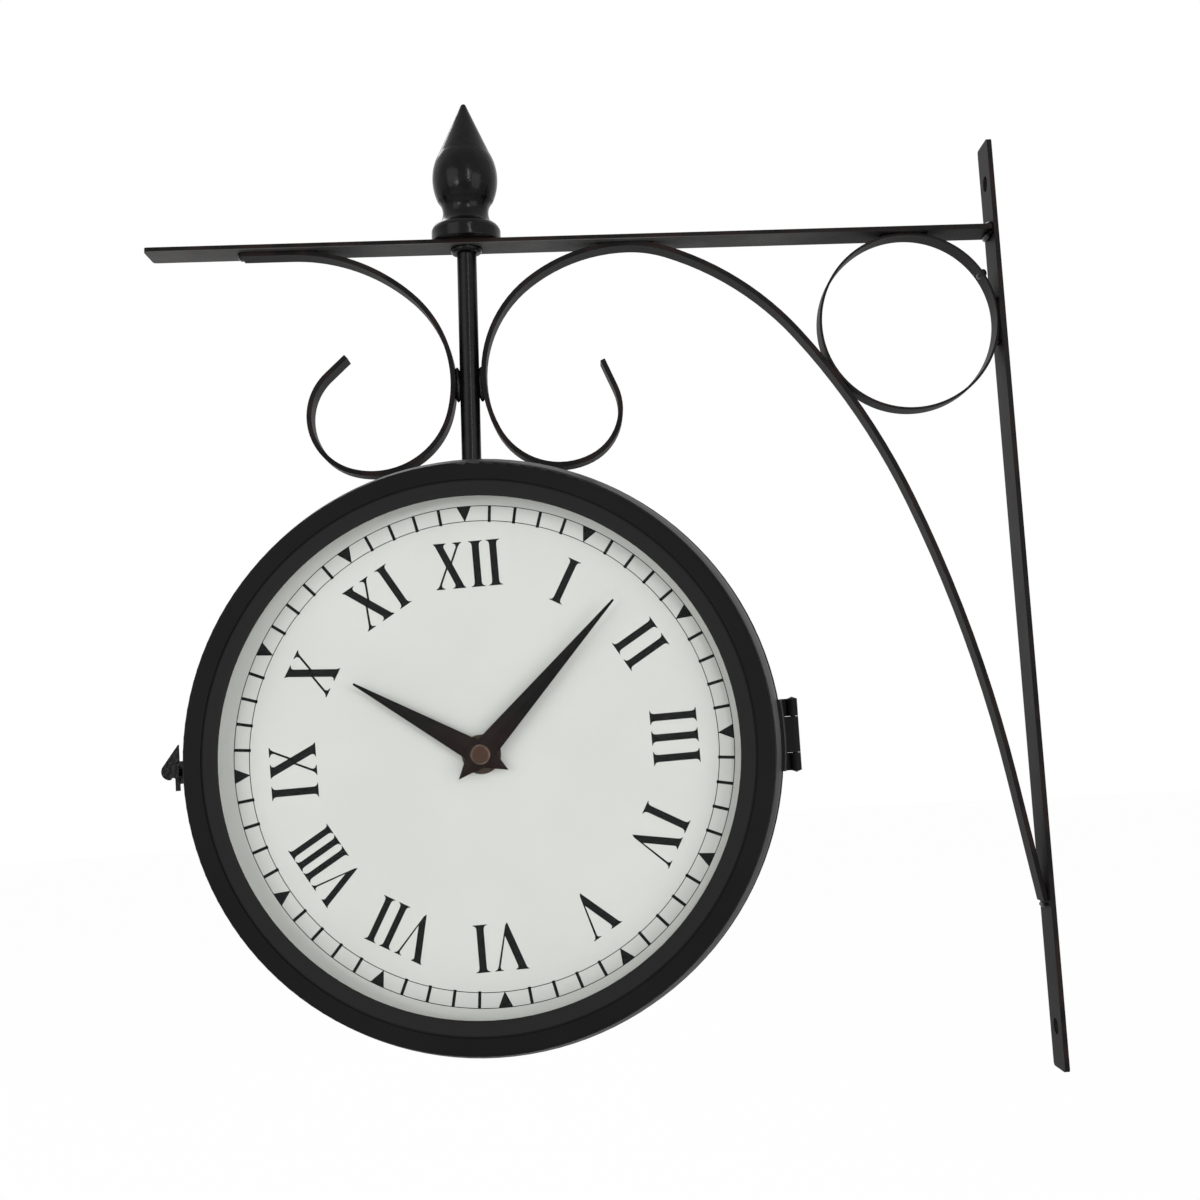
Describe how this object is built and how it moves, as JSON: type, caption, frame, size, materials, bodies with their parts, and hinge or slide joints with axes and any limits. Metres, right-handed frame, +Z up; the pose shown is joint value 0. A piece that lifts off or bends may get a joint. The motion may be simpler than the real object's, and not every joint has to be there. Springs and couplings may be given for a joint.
{
  "type": "double sided station clock",
  "caption": "Round drum clock with a dial on each side, hung on a rod under a scrollwork wall bracket, with a hinged and latched front half.",
  "frame": {"origin": "midway between the two screw holes, on the wall face of the upright strip", "axes": "+X into the wall, +Z up along the strip, -Y towards the viewer of the front dial"},
  "size_m": [0.3558, 0.103, 0.4151],
  "materials": {
    "bracket_black": "satin black paint over flat bar",
    "case_black": "satin black paint over spun and pressed steel sheet",
    "gloss_black": "thick glossy black paint",
    "dial_white": "matt off-white paint",
    "clear_glass": "clear flat glass",
    "seal_rubber": "matt black rubber",
    "hand_black": "satin black",
    "cap_brown": "dark bronze",
    "zinc_steel": "zinc-plated",
    "brass_nut": "dull brass",
    "movement_plastic": "moulded black plastic",
    "knob_plastic": "moulded grey plastic",
    "cell_jacket": "plain printed jacket"
  },
  "bodies": {
    "root": {"arm": "bracket_black", "finial": "gloss_black", "hanger_rod": "gloss_black", "hanger_saddle": "gloss_black", "hinge_pin": "gloss_black", "hinge_rear_leaf": "gloss_black", "latch_stud": "gloss_black", "left_scroll": "bracket_black", "rear_bezel": "case_black", "rear_cell": "cell_jacket", "rear_dial": "dial_white", "rear_dial_clips": "case_black", "rear_dial_nut": "brass_nut", "rear_lens": "clear_glass", "rear_lens_seal": "seal_rubber", "rear_movement": "movement_plastic", "rear_shell": "case_black", "rod_nuts": "zinc_steel", "rod_washer": "zinc_steel", "scroll_brace": "bracket_black", "scroll_ring": "bracket_black", "wall_strip": "bracket_black", "weld_beads": "gloss_black"},
    "front_door": {"front_bezel": "case_black", "front_cell": "cell_jacket", "front_dial": "dial_white", "front_dial_clips": "case_black", "front_dial_nut": "brass_nut", "front_lens": "clear_glass", "front_lens_seal": "seal_rubber", "front_movement": "movement_plastic", "front_shell": "case_black", "hinge_front_leaf": "gloss_black", "latch_pivot": "gloss_black"},
    "latch": {"latch_lever": "gloss_black"},
    "front_hour": {"front_hour_hand": "hand_black", "front_hour_tube": "brass_nut"},
    "front_minute": {"front_minute_hand": "hand_black", "front_minute_shaft": "brass_nut", "front_hub_cap": "cap_brown"},
    "front_setting": {"front_set_knob": "knob_plastic"},
    "rear_hour": {"rear_hour_hand": "hand_black", "rear_hour_tube": "brass_nut"},
    "rear_minute": {"rear_minute_hand": "hand_black", "rear_minute_shaft": "brass_nut", "rear_hub_cap": "cap_brown"},
    "rear_setting": {"rear_set_knob": "knob_plastic"}
  },
  "joints": [
    {"name": "door_hinge", "type": "hinge", "parent": "root", "child": "front_door", "pos_m": [-0.1002, -0.007, -0.051], "axis": [0, 0, 1], "range_deg": [0, 100]},
    {"name": "latch_swing", "type": "hinge", "parent": "front_door", "child": "latch", "pos_m": [-0.347, -0.014, -0.051], "axis": [1, 0, 0], "range_deg": [0, 90]},
    {"name": "front_minute_turn", "type": "hinge", "parent": "front_door", "child": "front_minute", "pos_m": [-0.225, 0, -0.051], "axis": [0, 1, 0], "continuous": true},
    {"name": "front_hour_turn", "type": "hinge", "parent": "front_door", "child": "front_hour", "pos_m": [-0.225, 0, -0.051], "axis": [0, 1, 0], "continuous": true},
    {"name": "front_setting_turn", "type": "hinge", "parent": "front_door", "child": "front_setting", "pos_m": [-0.225, 0, -0.051], "axis": [0, 1, 0], "continuous": true},
    {"name": "rear_minute_turn", "type": "hinge", "parent": "root", "child": "rear_minute", "pos_m": [-0.225, 0, -0.051], "axis": [0, -1, 0], "continuous": true},
    {"name": "rear_hour_turn", "type": "hinge", "parent": "root", "child": "rear_hour", "pos_m": [-0.225, 0, -0.051], "axis": [0, -1, 0], "continuous": true},
    {"name": "rear_setting_turn", "type": "hinge", "parent": "root", "child": "rear_setting", "pos_m": [-0.225, 0, -0.051], "axis": [0, -1, 0], "continuous": true}
  ],
  "couplings": [
    {"joint": "front_hour_turn", "follows": "front_minute_turn", "ratio": 0.083333},
    {"joint": "front_setting_turn", "follows": "front_minute_turn", "ratio": 1},
    {"joint": "rear_hour_turn", "follows": "rear_minute_turn", "ratio": 0.083333},
    {"joint": "rear_setting_turn", "follows": "rear_minute_turn", "ratio": 1}
  ]
}
